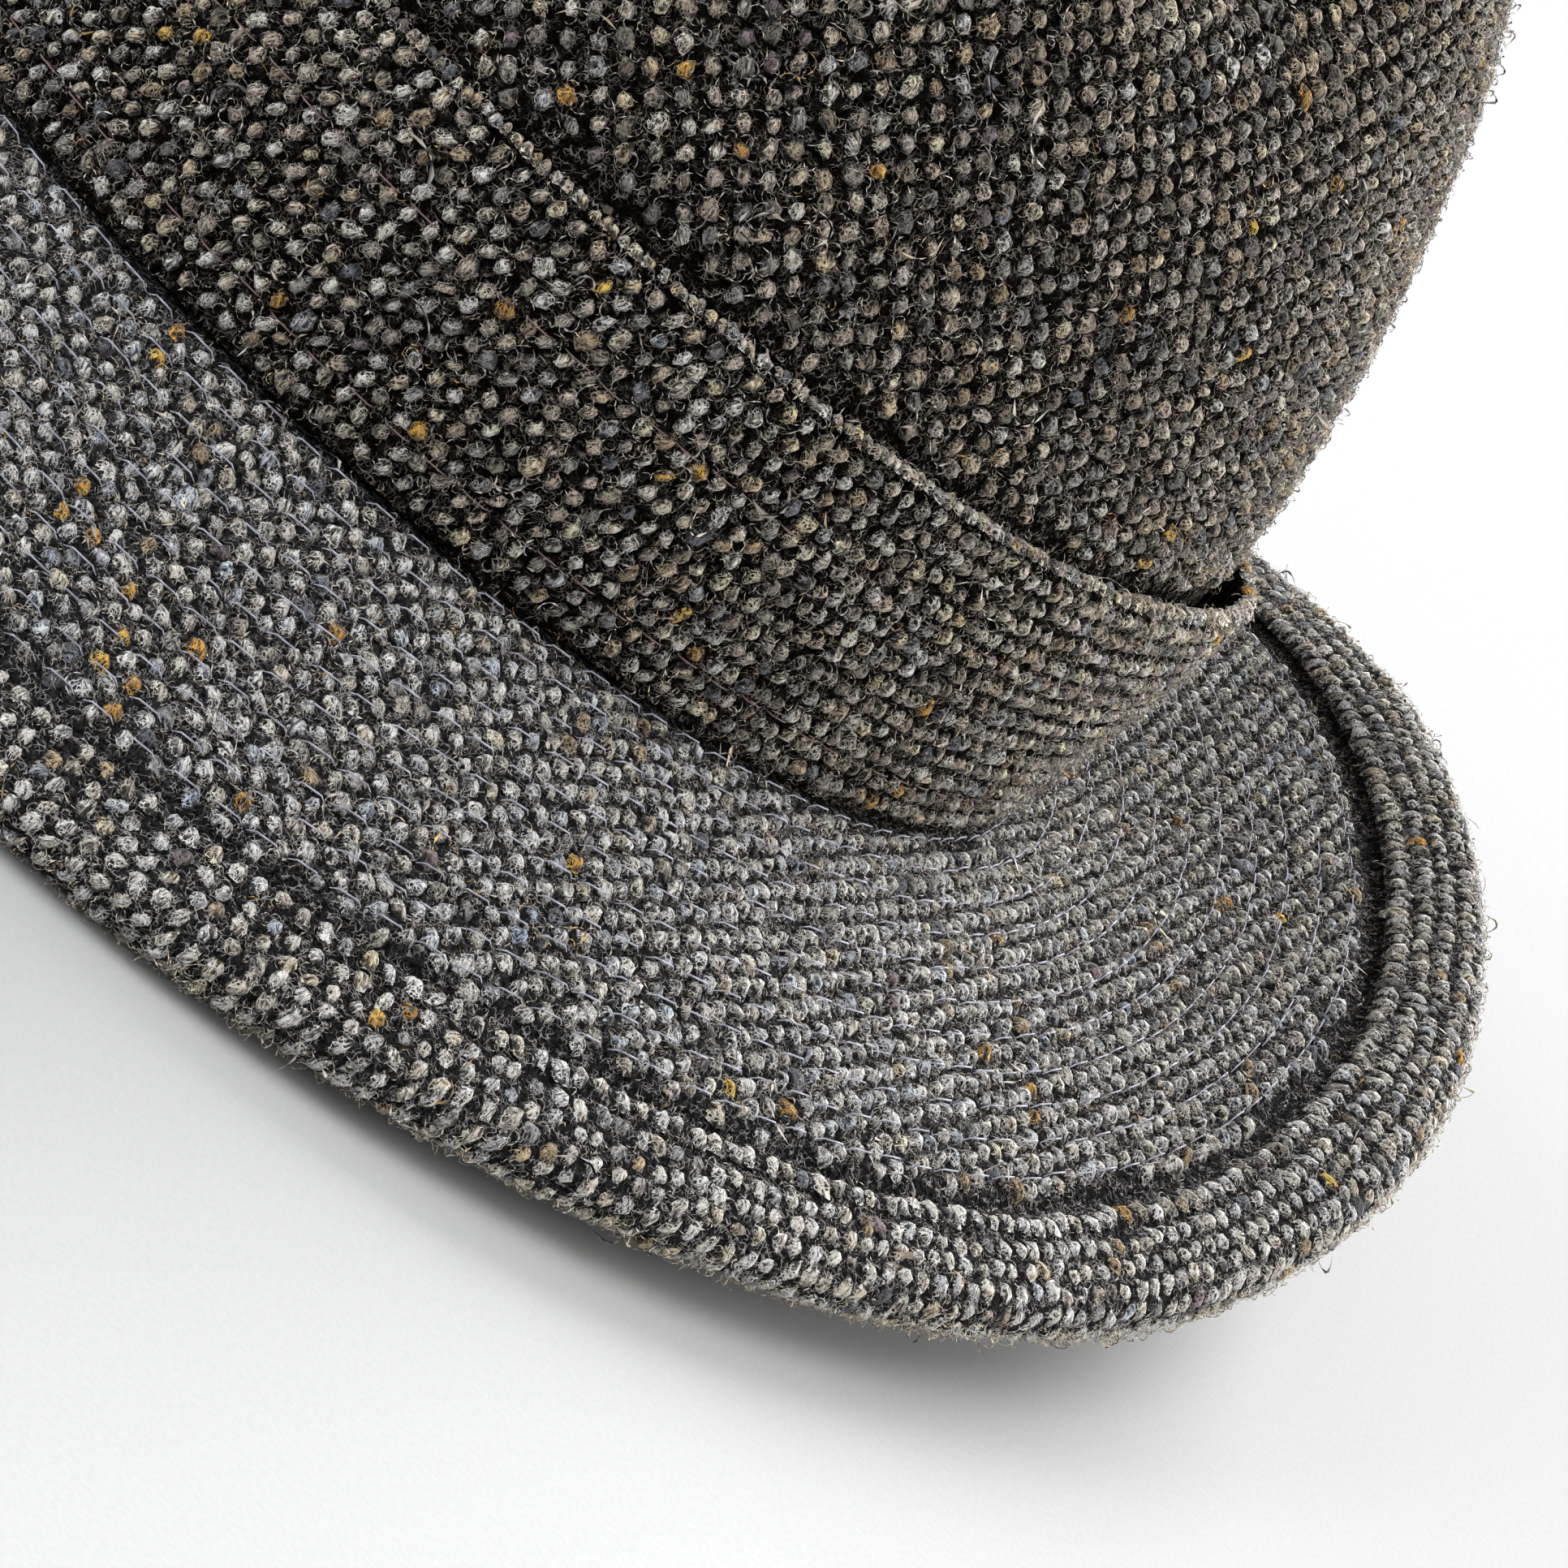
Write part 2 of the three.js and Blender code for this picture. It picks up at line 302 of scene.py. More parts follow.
def crown_side(u, v):
    """The crown's side wall, whose flat cut closes in a seam at the back."""
    length, up = crown_side_place(u, v)
    back_seam = BACK_SEAM_DEPTH * hump(np.abs(length), OVAL_GIRTH / 2, SEAM_WIDTH)
    return crown_at(turn_from_front(length), up, -back_seam)


def crown_top(u, v):
    """The crown's oval top, laid flat: u across the hat and v from front to back."""
    reach = np.hypot(u / HALF_WIDTH, v / HALF_LENGTH)
    turn = np.arctan2(u / HALF_WIDTH, -v / HALF_LENGTH)
    return crown_at(turn, CROWN_LENGTH - reach * MEAN_RADIUS, 0.0 * u)


def band_at(turn, height, wall):
    """Point of the band at a height, and a depth from its inner face outward."""
    share = np.interp(height, PROFILE_HEIGHTS[RISING], SHARES[RISING])
    outward = unit(oval_point(turn, 1.0, 0.0) - oval_point(turn, 0.0, 0.0))
    pocket = hump(np.degrees(turn), POCKET_ANGLE, POCKET_SPREAD)
    rise = (np.maximum(height, 0) / BAND_HEIGHT) ** 1.5
    offset = CLEARANCE + POCKET_GAP * pocket * rise + wall
    points = crown_point(turn, share) + outward * offset[..., None]
    return at_rest(points, foot_lift(turn, height))


def band_section(length):
    """Height and depth at a length up the band's outer face and over its top fold."""
    sunk = BAND_STITCH_DEPTH * hump(length, BAND_STITCH, BAND_STITCH_WIDTH)
    straight = BAND_HEIGHT - TOP_FOLD
    angle = np.clip((length - straight) / TOP_FOLD, 0, math.pi)
    height = np.minimum(length, straight) + TOP_FOLD * np.sin(angle)
    wall = TOP_FOLD * (1 + np.cos(angle)) - sunk
    down = np.maximum(length - straight - math.pi * TOP_FOLD, 0)
    return height - down, wall


def band_face(u, v):
    height, wall = band_section(v)
    return band_at(turn_at_length(u), height, wall)


def stitch_groove(along):
    """How far the rings of stitches, and the binding's hem, pull the brim's cloth down."""
    gap = (LAST_STITCH_ROW - FIRST_STITCH_ROW) / (STITCH_ROWS - 1)
    row = np.clip(np.round((along - FIRST_STITCH_ROW) / gap), 0, STITCH_ROWS - 1)
    stitches = hump(along - FIRST_STITCH_ROW - row * gap, 0, STITCH_WIDTH)
    hem = hump(along, HEM_GROOVE, HEM_GROOVE_WIDTH)
    return STITCH_DEPTH * stitches + HEM_GROOVE_DEPTH * hem


BRIM_CUT_RADIUS = OVAL_GIRTH / (TURNS * BRIM_CUT_SHARE)


def brim_place(u, v):
    """Length round from the front, and out along the brim, for a place on its flat cut cloth."""
    x = u * math.cos(BRIM_CUT_TWIST) - v * math.sin(BRIM_CUT_TWIST)
    y = u * math.sin(BRIM_CUT_TWIST) + v * math.cos(BRIM_CUT_TWIST)
    return np.arctan2(x, -y) * BRIM_CUT_RADIUS, np.hypot(x, y) - BRIM_CUT_RADIUS


def brim_top(u, v):
    length, along = brim_place(u, v)
    return resting_brim(turn_from_front(length), along, -stitch_groove(along))


def brim_under(u, v):
    """The underside, with u mirrored so that its cloth faces down."""
    length, along = brim_place(-u, v)
    return resting_brim(turn_from_front(length), along, stitch_groove(along) - BRIM_WALL)


EDGE_RADIUS = BRIM_WALL / 2 + CLEARANCE + BINDING_WALL
BINDING_START = BRIM_REACH - BINDING_WIDTH
BINDING_FLAT = BINDING_WIDTH - EDGE_RADIUS
BINDING_LENGTH = 2 * BINDING_FLAT + math.pi * EDGE_RADIUS
BINDING_TURNED = BINDING_LENGTH - BINDING_FLAT
EDGE_GIRTH = OVAL_GIRTH + TURNS * (BRIM_REACH - BINDING_WIDTH / 2)


def binding_section(length):
    """Distance along the brim and rise, round the outside of the binding from its top hem."""
    angle = np.clip((length - BINDING_FLAT) / EDGE_RADIUS, 0, math.pi)
    back = np.maximum(length - BINDING_FLAT - math.pi * EDGE_RADIUS, 0)
    along = BINDING_START + np.minimum(length, BINDING_FLAT) - back
    along = along + EDGE_RADIUS * np.sin(angle)
    rise = -BRIM_WALL / 2 + EDGE_RADIUS * np.cos(angle)
    tuck = np.clip(1 - np.minimum(length, BINDING_LENGTH - length) / HEM_TUCK_REACH, 0, 1)
    sunk = HEM_TUCK * tuck**2 + HEM_STITCH_DEPTH * hump(length, HEM_STITCH, HEM_STITCH_WIDTH)
    return along, rise - np.sign(rise + BRIM_WALL / 2) * sunk


def binding_face(u, v):
    """The binding's outside, from its top hem over the edge; u runs back round the hat."""
    along, rise = binding_section(v)
    turn = turn_at_length(-u * OVAL_GIRTH / EDGE_GIRTH)
    return resting_brim(turn, along, rise)


def lay(surface, places):
    """Places on a surface with its two cloth directions and its outward normal."""
    small = 0.05
    u, v = places[:, 0], places[:, 1]
    centre = surface(u, v)
    u_way = (surface(u + small, v) - surface(u - small, v)) / (2 * small)
    v_way = (surface(u, v + small) - surface(u, v - small)) / (2 * small)
    return centre, u_way, v_way, unit(np.cross(u_way, v_way))


def moved_from(centre, *moves):
    """Points about each centre, moved by lengths along its directions."""
    points = centre[:, None]
    for lengths, way in moves:
        points = points + lengths[..., None] * way[:, None]
    return points


# ---- meshes


def add_object(name, data):
    new = bpy.data.objects.new(name, data)
    bpy.context.scene.collection.objects.link(new)
    return new


def make_mesh(name, points, faces, materials, attributes, slots=None):
    """A smooth mesh from points in millimetres and equal-sided faces."""
    points = points.reshape(-1, 3).copy()
    points[:, 2] = np.maximum(points[:, 2], FLOOR_GAP)
    faces = faces.reshape(-1, faces.shape[-1])
    mesh = bpy.data.meshes.new(name)
    mesh.vertices.add(len(points))
    mesh.vertices.foreach_set("co", (points / 1000).astype(np.float32).ravel())
    mesh.loops.add(faces.size)
    mesh.loops.foreach_set("vertex_index", faces.astype(np.int32).ravel())
    mesh.polygons.add(len(faces))
    starts = np.arange(len(faces)) * faces.shape[1]
    mesh.polygons.foreach_set("loop_start", starts.astype(np.int32))
    for material in materials:
        mesh.materials.append(material)
    if slots is not None:
        mesh.polygons.foreach_set("material_index", slots.astype(np.int32))
    mesh.update(calc_edges=True)
    mesh.shade_smooth()
    for key, values in attributes.items():
        kind = "color" if values.shape[-1] == 4 else "vector"
        layer = mesh.attributes.new(key, "FLOAT_" + kind.upper(), "POINT")
        layer.data.foreach_set(kind, values.astype(np.float32).ravel())
    return add_object(name, mesh)


def repeated(faces, count, stride):
    """The same faces again for each of many small pieces."""
    return faces[None] + (np.arange(count) * stride)[:, None, None]


def grid_faces(rows, columns):
    """Quads between the points of a grid, turning outward for rows up and columns round."""
    row, column = np.meshgrid(np.arange(rows - 1), np.arange(columns - 1), indexing="ij")
    corner = (row * columns + column).ravel()
    return np.stack([corner, corner + 1, corner + columns + 1, corner + columns], -1)


# ---- materials


def new_material(name, roughness, sheen):
    material = bpy.data.materials.new(name)
    material.use_nodes = True
    tree = material.node_tree
    shader = tree.nodes["Principled BSDF"]
    shader.inputs["Roughness"].default_value = roughness
    shader.inputs["Sheen Weight"].default_value = sheen
    shader.inputs["Sheen Roughness"].default_value = 0.5
    shader.inputs["Specular IOR Level"].default_value = 0.0
    return material, tree, shader


def set_inputs(tree, node, values):
    """Gives inputs of a node, by name or number, a link or a constant."""
    for key, value in values.items():
        if isinstance(value, bpy.types.NodeSocket):
            tree.links.new(value, node.inputs[key])
        else:
            node.inputs[key].default_value = value


def add_node(tree, kind, values, operation=None):
    node = tree.nodes.new("ShaderNode" + kind)
    if operation:
        node.operation = operation
    set_inputs(tree, node, values)
    return node


def attribute(tree, name):
    node = add_node(tree, "Attribute", {})
    node.attribute_name = name
    return node.outputs


def object_place(tree):
    return add_node(tree, "TexCoord", {}).outputs["Object"]


def plain_colour(tree, colour):
    node = add_node(tree, "RGB", {})
    node.outputs[0].default_value = (*colour, 1)
    return node.outputs[0]


def math_node(tree, operation, first, second=None):
    values = {0: first} if second is None else {0: first, 1: second}
    return add_node(tree, "Math", values, operation).outputs[0]


def map_range(tree, value, low, high, to_low, to_high):
    ends = {"From Min": low, "From Max": high, "To Min": to_low, "To Max": to_high}
    node = add_node(tree, "MapRange", {"Value": value, **ends})
    node.interpolation_type = "SMOOTHSTEP"
    return node.outputs["Result"]


def noise_node(tree, vector, scale, detail, distortion=0.0):
    values = {"Vector": vector, "Scale": scale, "Detail": detail, "Distortion": distortion}
    return add_node(tree, "TexNoise", values).outputs["Fac"]


def scaled_colour(tree, colour, factor):
    return add_node(tree, "VectorMath", {0: colour, "Scale": factor}, "SCALE").outputs[0]


def capped_colour(tree, colour, cap):
    return add_node(tree, "VectorMath", {0: colour, 1: cap}, "MINIMUM").outputs[0]


def mixed_colour(tree, factor, first, second):
    node = add_node(tree, "Mix", {})
    node.data_type = "RGBA"
    set_inputs(tree, node, {"A": first, "B": second, "Factor": factor})
    return node.outputs["Result"]


def dress(tree, shader, colour, height, strength, distance):
    """Gives a shader its colour, and a bump from a height."""
    values = {"Strength": strength, "Distance": distance, "Height": height}
    bump = add_node(tree, "Bump", values).outputs["Normal"]
    set_inputs(tree, shader, {"Base Color": colour, "Normal": bump})


def drawn_curls(tree, scales, width, bare):
    """Thin curled fibres: lines where smooth noise passes its middle, with bare stretches."""
    place = object_place(tree)
    patches = noise_node(tree, place, 900.0, 1.0)
    curls = None
    for scale in scales:
        noise = noise_node(tree, place, scale, 0.0, 0.4)
        away = math_node(tree, "SUBTRACT", noise, 0.5)
        away = math_node(tree, "ABSOLUTE", away)
        line = map_range(tree, away, width * 0.4, width, 1.0, 0.0)
        curls = line if curls is None else math_node(tree, "MAXIMUM", curls, line)
    broken = map_range(tree, patches, bare, bare + 0.18, 0.0, 1.0)
    return math_node(tree, "MULTIPLY", curls, broken)


# Scales and width of the drawn curls, and how much of the cloth they leave bare.
TUFT_CURLS = ((1000.0, 1500.0, 2100.0), 0.045, 0.34)
GROUND_CURLS = ((1100.0, 1700.0), 0.030, 0.40)
WOOL_CREAM = (0.90, 0.87, 0.83)  # the palest that the wool of a tuft gets


def tuft_material(name, sheen):
    """Wool of the crossing yarns: the tuft's own colour broken into fine twisted fibres.

    Towards the rim the colour darkens, as painted shade where the yarn dips into the ground, and
    at the top it is a little brighter, as a painted highlight. Only the raised fibres stay pale
    at the rim, so that a tuft's outline is ragged.
    """
    material, tree, shader = new_material(name, 0.95, sheen)
    tint = attribute(tree, "tint")
    strand = attribute(tree, "strand")
    lines = noise_node(tree, strand["Vector"], 1.0, 3.0, 0.9)
    curls = drawn_curls(tree, *TUFT_CURLS)
    fibre = map_range(tree, lines, 0.36, 0.66, 0.10, 1.65)
    raggedness = math_node(tree, "MULTIPLY", lines, 2.4)
    reach = math_node(tree, "ADD", tint["Alpha"], raggedness)
    # Painted shade and highlight: darker from the top down to the rim, a little brighter at the
    # top.
    ragged_painted_shade_and_highlight = map_range(tree, reach, 1.62, 2.50, 0.03, 1.12)
    shown = math_node(tree, "MULTIPLY", fibre, ragged_painted_shade_and_highlight)
    drawn = math_node(tree, "MULTIPLY", curls, 2.0)
    factor = math_node(tree, "MAXIMUM", shown, drawn)
    colour = scaled_colour(tree, tint["Color"], factor)
    colour = capped_colour(tree, colour, WOOL_CREAM)
    raised = math_node(tree, "ADD", lines, math_node(tree, "MULTIPLY", curls, 0.3))
    dress(tree, shader, colour, raised, 1.0, 0.0006)
    return material


def ground_material(name, colour, curl_colour):
    """Nearly black yarn that lies under the tufts, with a few pale fibres over it."""
    material, tree, shader = new_material(name, 1.0, 0.0)
    lines = noise_node(tree, object_place(tree), 2500.0, 3.0, 1.0)
    shade = map_range(tree, lines, 0.35, 0.7, 0.3, 2.0)
    dark = scaled_colour(tree, plain_colour(tree, colour), shade)
    curls = drawn_curls(tree, *GROUND_CURLS)
    mixed = mixed_colour(tree, curls, dark, (*curl_colour, 1))
    dress(tree, shader, mixed, lines, 0.8, 0.0003)
    return material


def woven_material(name, pale, dark):
    """The same weave drawn on faces that are hidden in use: pale crossings over dark ones."""
    material, tree, shader = new_material(name, 1.0, 0.1)
    cloth = attribute(tree, "cloth")
    split = add_node(tree, "SeparateXYZ", {0: cloth["Vector"]})
    wave = math.pi / THREAD_PITCH
    waves = []
    for axis in ("X", "Y"):
        turned = math_node(tree, "MULTIPLY", split.outputs[axis], wave)
        waves.append(math_node(tree, "SINE", turned))
    crossing = math_node(tree, "MULTIPLY", *waves)
    lines = noise_node(tree, cloth["Vector"], 3.0, 3.0, 0.8)
    patches = noise_node(tree, cloth["Vector"], 0.35, 2.0)
    raised = math_node(tree, "ADD", crossing, math_node(tree, "SUBTRACT", lines, 0.5))
    mask = map_range(tree, raised, 0.1, 0.65, 0.0, 1.0)
    tone = map_range(tree, patches, 0.3, 0.7, 0.6, 1.3)
    mask = math_node(tree, "MULTIPLY", mask, tone)
    mixed = mixed_colour(tree, mask, (*dark, 1), (*pale, 1))
    dress(tree, shader, mixed, raised, 0.9, 0.0005)
    return material


def thread_material(name, colour):
    """Twisted sewing thread."""
    material, tree, shader = new_material(name, 0.6, 0.1)
    strand = attribute(tree, "strand")
    lines = noise_node(tree, strand["Vector"], 1.0, 2.0)
    shade = map_range(tree, lines, 0.35, 0.65, 0.6, 1.25)
    shaded = scaled_colour(tree, plain_colour(tree, colour), shade)
    dress(tree, shader, shaded, lines, 0.6, 0.0001)
    return material


def fibre_material(name):
    """Single loose fibres of wool, each with its own colour."""
    material, tree, shader = new_material(name, 0.6, 0.3)
    tint = attribute(tree, "tint")
    lines = noise_node(tree, object_place(tree), 900.0, 1.0)
    shade = map_range(tree, lines, 0.3, 0.7, 0.7, 1.2)
    colour = scaled_colour(tree, tint["Color"], shade)
    set_inputs(tree, shader, {"Base Color": colour})
    return material


# Colours of the pale yarn on the crown, band, brim and binding, then of what lies under it.
# The brim's colours are paler and cooler than the crown's: partly the cloth, and partly painted
# light where the brim faces up to the lamps.
PALE = (0.305, 0.264, 0.220)
PALE_BAND = (0.42, 0.368, 0.308)
# Paler and cooler than the crown's pale yarn: partly painted light on the upward-facing brim.
PALE_BRIM_WITH_PAINTED_LIGHT = (0.585, 0.570, 0.563)
PALE_BINDING = (0.60, 0.563, 0.527)
DARK = (0.008, 0.0068, 0.0058)
GROUND = (0.004, 0.0034, 0.0029)
CURL_TINT = (0.17, 0.146, 0.124)
# Paler than the crown's dark yarn, ground and curls: partly painted light on the upward-facing
# brim.
BRIM_DARK_WITH_PAINTED_LIGHT = (0.024, 0.023, 0.023)
BRIM_GROUND_WITH_PAINTED_LIGHT = (0.015, 0.0145, 0.0145)
BRIM_CURL_TINT_WITH_PAINTED_LIGHT = (0.33, 0.31, 0.305)

tuft_wool = tuft_material("tweed_tufts", 0.35)
dark_wool = ground_material("tweed_dark_tufts", DARK, CURL_TINT)
ground_wool = ground_material("tweed_ground", GROUND, CURL_TINT)
brim_dark_wool = ground_material("brim_dark_tufts", BRIM_DARK_WITH_PAINTED_LIGHT, BRIM_CURL_TINT_WITH_PAINTED_LIGHT)
brim_ground_wool = ground_material("brim_ground", BRIM_GROUND_WITH_PAINTED_LIGHT, BRIM_CURL_TINT_WITH_PAINTED_LIGHT)
woven_wool = woven_material("tweed_hidden_faces", PALE, DARK)
brim_thread = thread_material("brim_thread", (0.42, 0.42, 0.50))
band_thread = thread_material("band_thread", (0.30, 0.20, 0.19))
fibre_wool = fibre_material("loose_fibres")


# ---- ground sheets


def ground_sheet(name, surface, section, round_steps, hidden_from, ground):
    """A sheet that goes round the hat. section lists (place, rise) pairs given to surface."""
    turns = np.linspace(-math.pi, math.pi, round_steps + 1)
    rows = len(section)
    points = np.stack([surface(turns, *place) for place in section])
    lengths = np.interp(turns, OVAL_TURNS, OVAL_LENGTHS)
    middle = points[:, : round_steps // 4].mean(1)
    run = np.concatenate([[0], np.cumsum(np.linalg.norm(np.diff(middle, axis=0), axis=-1))])
    cloth = stacked(lengths[None], run[:, None], 0.0)
    faces = grid_faces(rows, round_steps + 1)
    slots = np.repeat(np.arange(rows - 1) >= hidden_from, round_steps)
    return make_mesh(name, points, faces, [ground, woven_wool], {"cloth": cloth}, slots)


def row_of(surface):
    """The surface for many turns, with its other values given as single numbers."""

    def row(turns, *values):
        filled = [np.broadcast_to(value, turns.shape).astype(float) for value in values]
        return surface(turns, *filled)

    return row


crown_row, brim_row, band_row = map(row_of, (crown_at, resting_brim, band_at))

CROWN_END = CROWN_LENGTH - 0.05  # just short of the pole, where the rings would close
crown_up = [(length, -GROUND_SINK) for length in np.linspace(FOOT_GAP, CROWN_END, 76)]
crown_down = [(length, -CROWN_WALL) for length in np.linspace(CROWN_END, FOOT_GAP, 30)]
crown_section = crown_up + crown_down + crown_up[:1]
crown_cloth = ground_sheet("crown_cloth", crown_row, crown_section, 180, 75, ground_wool)

band_lengths = np.concatenate([np.linspace(FOOT_GAP, 32.5, 12), np.linspace(33, 35.1, 7)])
band_heights, band_walls = band_section(band_lengths)
band_up = [(h, max(w - GROUND_SINK, 0)) for h, w in zip(band_heights, band_walls)]
band_down = [(h, 0.0) for h in np.linspace(BAND_HEIGHT - 1, FOOT_GAP, 8)]
band_section_places = band_up + band_down + band_up[:1]
band_cloth = ground_sheet("band_cloth", band_row, band_section_places, 180, 40, ground_wool)

brim_stations = np.linspace(BRIM_HOLE, BRIM_REACH - BINDING_WALL - CLEARANCE, 50)
brim_upper = [(along, -GROUND_SINK - stitch_groove(along)) for along in brim_stations]
brim_lower = [(along, -BRIM_WALL) for along in brim_stations]
brim_section = brim_lower[::-2] + brim_upper + brim_lower[-1:]
brim_cloth = ground_sheet("brim_cloth", brim_row, brim_section, 240, 200, brim_ground_wool)

binding_lengths = [
    *np.linspace(0, BINDING_FLAT, 15)[:-1],
    *np.linspace(BINDING_FLAT, BINDING_TURNED, 12),
    *np.linspace(BINDING_TURNED, BINDING_LENGTH, 12)[1:],
]
binding_out = list(zip(*binding_section(np.array(binding_lengths))))
binding_in = [
    (BINDING_START, -BRIM_WALL - CLEARANCE),
    (BRIM_REACH - BINDING_WALL, -BRIM_WALL - CLEARANCE),
    (BRIM_REACH - BINDING_WALL, CLEARANCE),
    (BINDING_START, CLEARANCE),
]
binding_around = (binding_out + binding_in + binding_out[:1])[::-1]
binding_cloth = ground_sheet(
    "binding_cloth", brim_row, binding_around, 240, 100, brim_ground_wool
)


# ---- tufts of the weave

PALEST = 0.80
WARMTH = (0.03, 0.09)  # mean and spread of a tuft's lean to warm colours
YARN_TONE_SPREAD = 0.10
TUFT_TONE_SPREAD = 0.40
FOLD_TONE_SPREAD = 0.35
FLECK_TONE_SPREAD = 0.2
FLECK_RUN = 0.3  # how often a fleck runs on into the yarn's next tuft
# Colours of the flecks spun into the yarn: share of tufts, colour.
FLECKS = (
    (0.0110, (0.50, 0.255, 0.045)),
    (0.0060, (0.70, 0.68, 0.62)),
    (0.0140, (0.10, 0.103, 0.120)),
    (0.0060, (0.15, 0.115, 0.12)),
    (0.0130, (0.34, 0.25, 0.15)),
)


def varied(random, spread, shape):
    """Factors about one."""
    return np.exp(random.normal(0, spread, shape))


def yarn_colours(places, across, along, base, spread, random):
    """A colour for each tuft, with each yarn's own tone and flecks that run on along it."""
    count = len(places)
    yarn = np.round(places @ across / THREAD_PITCH).astype(int)
    order = np.lexsort((places @ along, yarn))
    yarn = yarn - yarn.min()
    yarn_tone = random.normal(0, YARN_TONE_SPREAD, yarn.max() + 1)[yarn]
    tone = np.exp(random.normal(0, spread, count) + yarn_tone)
    warmth = random.normal(*WARMTH, count)
    colours = np.array(base)[None] * tone[:, None]
    colours = colours * np.stack([1 + warmth, 1 + 0.35 * warmth, 1 - 0.9 * warmth], -1)
    first = 0.0
    draw = random.random(count)
    runs_on = random.random(count) < FLECK_RUN
    for share, colour in FLECKS:
        hit = (draw >= first) & (draw < first + share)
        ordered = hit[order]
        after = np.concatenate([[False], ordered[:-1]]) & runs_on
        hit[order] = ordered | after
        strength = varied(random, FLECK_TONE_SPREAD, count)[:, None]
        colours = np.where(hit[:, None], np.array(colour) * strength, colours)
        first += share
    return colours * np.minimum(1, PALEST / colours.max(1, keepdims=True))


def unit_circle(sides):
    ring = np.arange(sides) / sides * TURNS
    return np.stack([np.cos(ring), np.sin(ring)], -1)


def dome(sides, rim, top):
    """Flat places, heights and triangles of a low dome: its rim, a ring at its top and a cap."""
    circle = unit_circle(sides)
    flat = np.concatenate([circle * rim[0], circle * top[0]])
    high = np.repeat([rim[1], top[1]], sides)
    index = np.arange(sides)
    after = (index + 1) % sides
    cap = np.arange(1, sides - 1) + sides
    faces = [
        np.stack([index, after, after + sides], -1),
        np.stack([index, after + sides, index + sides], -1),
        np.stack([np.full(sides - 2, sides), cap, cap + 1], -1),
    ]
    return flat, high, np.concatenate(faces)


def peak(sides, rim):
    """Flat places, heights and triangles of a plain peak on a rim."""
    flat = np.concatenate([unit_circle(sides), np.zeros((1, 2))])
    high = np.append(np.full(sides, rim), 1.0)
    index = np.arange(sides)
    return flat, high, np.stack([index, (index + 1) % sides, np.full(sides, sides)], -1)


# Shapes of a pale tuft, of one under the brim, and of a dark tuft.
PALE_DOME = dome(6, (1.12, -0.8), (0.50, 0.95))
UNDER_DOME = peak(6, -0.8)
DARK_DOME = peak(4, -1.3)

# How the tufts vary.
GRAIN_SPREAD = 0.22
SIZE_SPREADS = (0.10, 0.12, 0.18)
RIM_SPREAD = 0.15
LUMP_SPREAD = 0.14
LEAN_SPREAD = 0.13
SWAY_SPREAD = 0.11
TWIST_SPREAD = 0.25
SLUB_SHARE = 0.02
SLUB_SWELL = 1.25
SKEW = 0.2
FIBRE_TWIST = math.radians(28)  # between the fibres and the yarn
FIBRE_GRAIN = (0.9, 4.2)  # how fast a tuft's noise runs along its fibres and across them


def tufts(name, surface, places, grain, size, shape, colours, material, random):
    """A ragged dome of wool at each place, long along the yarn, its rim sunk in the ground."""
    count = len(places)
    centre, u_way, v_way, normal = lay(surface, places)
    angle = grain + random.normal(0, GRAIN_SPREAD, count)
    long_way = u_way * np.cos(angle)[:, None] + v_way * np.sin(angle)[:, None]
    cross_way = v_way * np.cos(angle)[:, None] - u_way * np.sin(angle)[:, None]
    scale = varied(random, SIZE_SPREADS, (count, 3))
    scale[random.random(count) < SLUB_SHARE] *= SLUB_SWELL
    flat, high, faces = shape
    ragged = varied(random, RIM_SPREAD, (count, len(flat)))
    lean = random.normal(0, LEAN_SPREAD, (count, 1, 2)) * np.maximum(high, 0)[None, :, None]
    lumps = varied(random, LUMP_SPREAD, (count, len(flat)))
    a = (flat[None, :, 0] * ragged + lean[..., 0]) * scale[:, :1] * size[0]
    b = (flat[None, :, 1] + SKEW * flat[None, :, 0]) * ragged + lean[..., 1]
    b = b * scale[:, 1:2] * size[1]
    h = np.where(high > 0, high[None] * lumps * scale[:, 2:], high[None]) * size[2]
    sway = random.normal(0, SWAY_SPREAD, (count, 2)) * THREAD_PITCH
    moves = (a + sway[:, :1], long_way), (b + sway[:, 1:], cross_way), (h, normal)
    points = moved_from(centre, *moves)
    twist = FIBRE_TWIST + random.normal(0, TWIST_SPREAD, (count, 1))
    line = a * np.cos(twist) + b * np.sin(twist)
    over = b * np.cos(twist) - a * np.sin(twist)
    shift = random.uniform(0, 400, (count, 1))
    strand = stacked(line * FIBRE_GRAIN[0] + shift, over * FIBRE_GRAIN[1], shift)
    tint = np.empty((count, len(flat), 4))
    tint[..., :3] = colours[:, None]
    # The alpha is the height up the dome; the material turns it into painted shade at the rim
    # and a painted highlight at the top.
    tint[..., 3] = np.clip(high, 0, 1)[None]
    faces = repeated(faces, count, len(flat))
    return make_mesh(name, points, faces, [material], {"tint": tint, "strand": strand})


U_WAY = np.array([1.0, 0.0])
V_WAY = np.array([0.0, 1.0])
BIAS_ALONG = np.array([1.0, 1.0]) / math.sqrt(2)
BIAS_ACROSS = np.array([-1.0, 1.0]) / math.sqrt(2)
# Half length along the yarn, half width and height of a tuft.
CROWN_TUFT = (0.93, 0.75, 0.43)
BRIM_TUFT = (1.03, 0.82, 0.45)
BINDING_TUFT = (1.20, 0.94, 0.46)
FOLD_TUFT = (0.95, 0.62, 0.45)
DARK_SIZE = (0.92, 0.86, 0.28)


